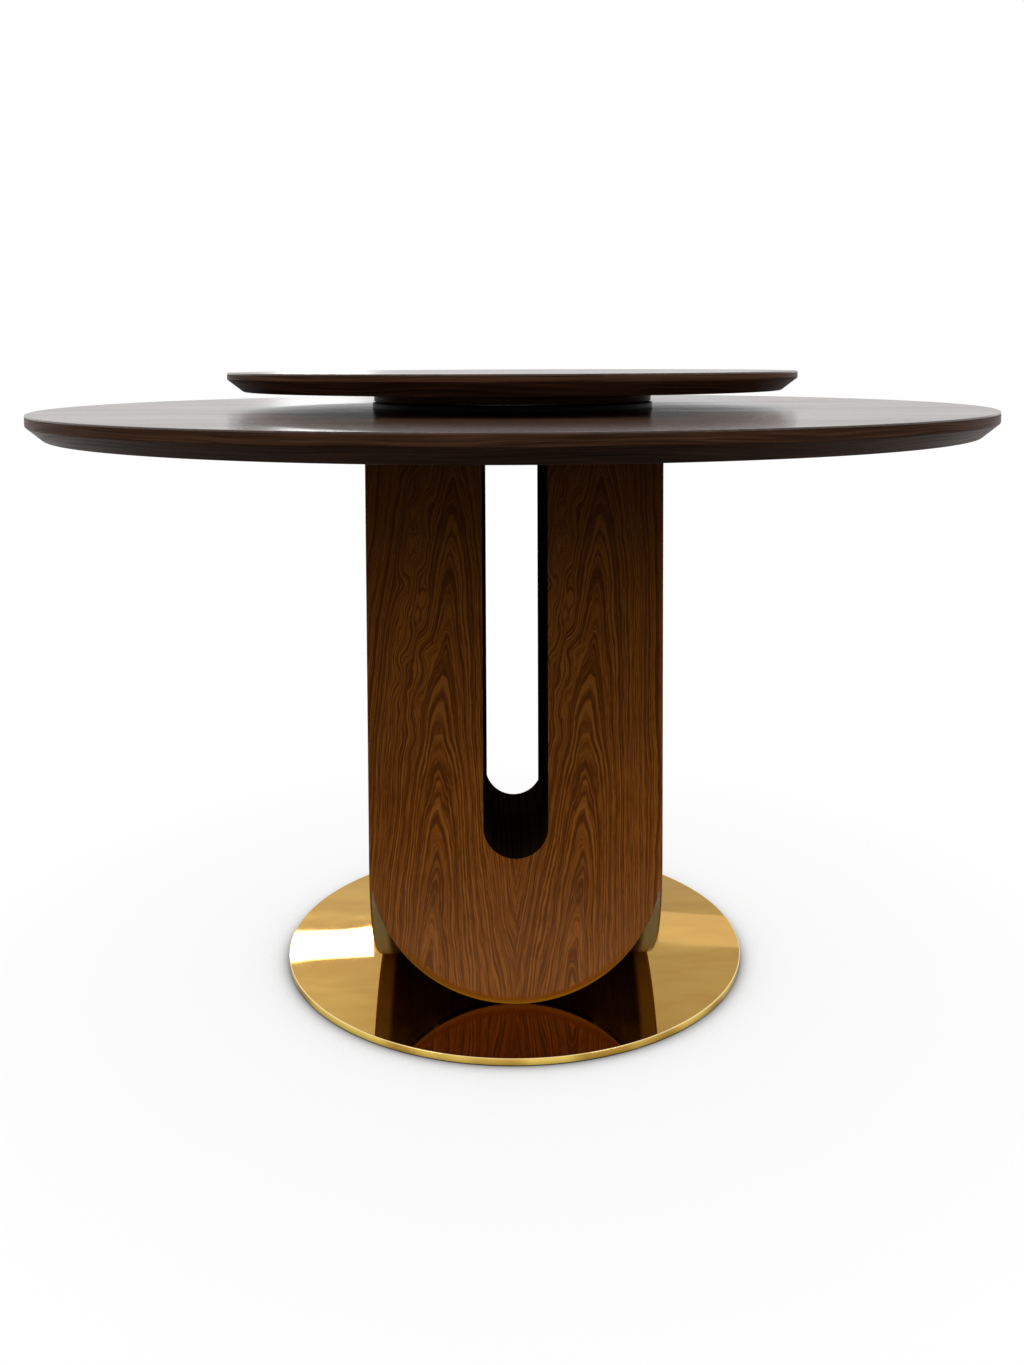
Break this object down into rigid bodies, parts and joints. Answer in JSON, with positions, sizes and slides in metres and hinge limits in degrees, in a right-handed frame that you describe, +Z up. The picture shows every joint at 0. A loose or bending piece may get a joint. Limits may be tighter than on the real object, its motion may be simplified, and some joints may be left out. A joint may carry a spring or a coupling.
{
  "type": "dining table with lazy susan",
  "caption": "Round dining table on a square slotted pedestal with rounded feet and a round base plate, with a turning tray raised on a plinth at its centre.",
  "frame": {"origin": "centre of the base plate's underside, on the floor", "axes": "+Z up along the table axis, +X to the right and -Y to the front as the picture shows the table"},
  "size_m": [1.2998, 1.3, 0.8322],
  "materials": {
    "gold_plate": "mirror-polished gold-tone plating on steel",
    "plain_steel": "plain mild steel, hidden",
    "rubber_pad": "matt",
    "bolt_steel": "zinc-plated",
    "pedestal_veneer": "mid-brown open-grain veneer, satin lacquer",
    "slot_lining": "dark brown veneer, satin lacquer",
    "core_timber": "raw laminated timber, hidden",
    "core_board": "raw board; hidden on the turntable, dark-stained where the underside shows",
    "top_veneer": "dark walnut veneer, gloss lacquer",
    "top_lipping": "dark walnut, gloss lacquer",
    "black_paint": "black powder coat",
    "race_steel": "bearing steel"
  },
  "bodies": {
    "table": {"base_bolt_1": "bolt_steel", "base_bolt_2": "bolt_steel", "base_bolt_3": "bolt_steel", "base_bolt_4": "bolt_steel", "base_cover": "gold_plate", "base_pad": "rubber_pad", "base_weight": "plain_steel", "face_front_a": "pedestal_veneer", "face_front_b": "pedestal_veneer", "face_left_a": "pedestal_veneer", "face_left_b": "pedestal_veneer", "face_rear_a": "pedestal_veneer", "face_rear_b": "pedestal_veneer", "face_right_a": "pedestal_veneer", "face_right_b": "pedestal_veneer", "foot_skin_front": "pedestal_veneer", "foot_skin_left": "pedestal_veneer", "foot_skin_rear": "pedestal_veneer", "foot_skin_right": "pedestal_veneer", "leg_block_front_left": "core_timber", "leg_block_front_right": "core_timber", "leg_block_rear_left": "core_timber", "leg_block_rear_right": "core_timber", "lower_core": "core_timber", "race_base": "black_paint", "race_ring_fixed": "race_steel", "slot_floor_front": "slot_lining", "slot_floor_left": "slot_lining", "slot_floor_rear": "slot_lining", "slot_floor_right": "slot_lining", "slot_step": "slot_lining", "slot_wall_front_a": "slot_lining", "slot_wall_front_b": "slot_lining", "slot_wall_left_a": "slot_lining", "slot_wall_left_b": "slot_lining", "slot_wall_rear_a": "slot_lining", "slot_wall_rear_b": "slot_lining", "slot_wall_right_a": "slot_lining", "slot_wall_right_b": "slot_lining", "tabletop_core": "core_board", "tabletop_lipping": "top_lipping", "tabletop_surface": "top_veneer", "top_bolt_1": "bolt_steel", "top_bolt_2": "bolt_steel", "top_bolt_3": "bolt_steel", "top_bolt_4": "bolt_steel", "top_plate": "plain_steel"},
    "turntable": {"susan_core": "core_board", "susan_lipping": "top_lipping", "susan_surface": "top_veneer", "susan_plinth": "top_lipping", "race_ring_moving": "race_steel"},
    "ball_cage": {"race_cage": "race_steel"}
  },
  "joints": [
    {"name": "turntable_spin", "type": "hinge", "parent": "table", "child": "turntable", "pos_m": [0, 0, 0.7949], "axis": [0, 0, 1], "continuous": true},
    {"name": "ball_cage_roll", "type": "hinge", "parent": "table", "child": "ball_cage", "pos_m": [0, 0, 0.7949], "axis": [0, 0, 1], "continuous": true}
  ],
  "couplings": [
    {"joint": "ball_cage_roll", "follows": "turntable_spin", "ratio": 0.5}
  ]
}
